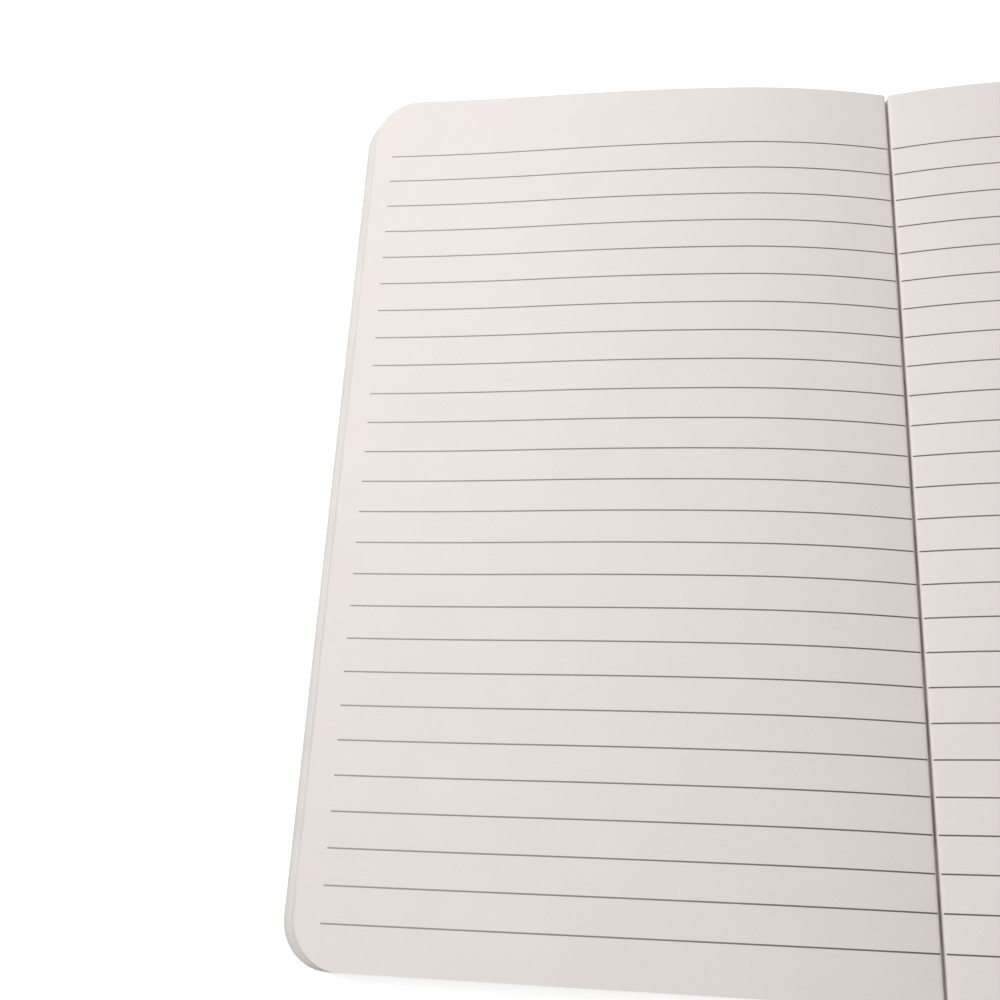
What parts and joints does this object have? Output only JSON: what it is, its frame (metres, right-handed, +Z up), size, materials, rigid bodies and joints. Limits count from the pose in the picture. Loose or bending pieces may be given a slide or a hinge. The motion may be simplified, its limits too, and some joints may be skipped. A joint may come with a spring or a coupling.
{
  "type": "composition notebook",
  "caption": "Ruled composition notebook lying open, with arched pages, rounded corners, stiff cover boards and a cloth spine strip.",
  "frame": {"origin": "under the middle of the spine, on the surface that the open covers lie on", "axes": "+X across the pages from the front half to the back half, +Y up the pages from foot to head, +Z up out of the open pages"},
  "size_m": [0.2524, 0.2026, 0.0086],
  "materials": {
    "paper": "matte",
    "board": "satin",
    "cloth": "matte",
    "thread": "matte"
  },
  "bodies": {
    "block": {"leaves": "paper", "thread": "thread", "spine_tape": "cloth"},
    "front": {"front_cover": "board", "front_tape": "cloth"},
    "back": {"back_cover": "board", "back_tape": "cloth"}
  },
  "joints": [
    {"name": "front_cover_hinge", "type": "hinge", "parent": "block", "child": "front", "pos_m": [-0.006, 0, 0.0002], "axis": [0, -1, 0], "range_deg": [0, 90]},
    {"name": "back_cover_hinge", "type": "hinge", "parent": "block", "child": "back", "pos_m": [0.006, 0, 0.0002], "axis": [0, 1, 0], "range_deg": [0, 90]}
  ]
}
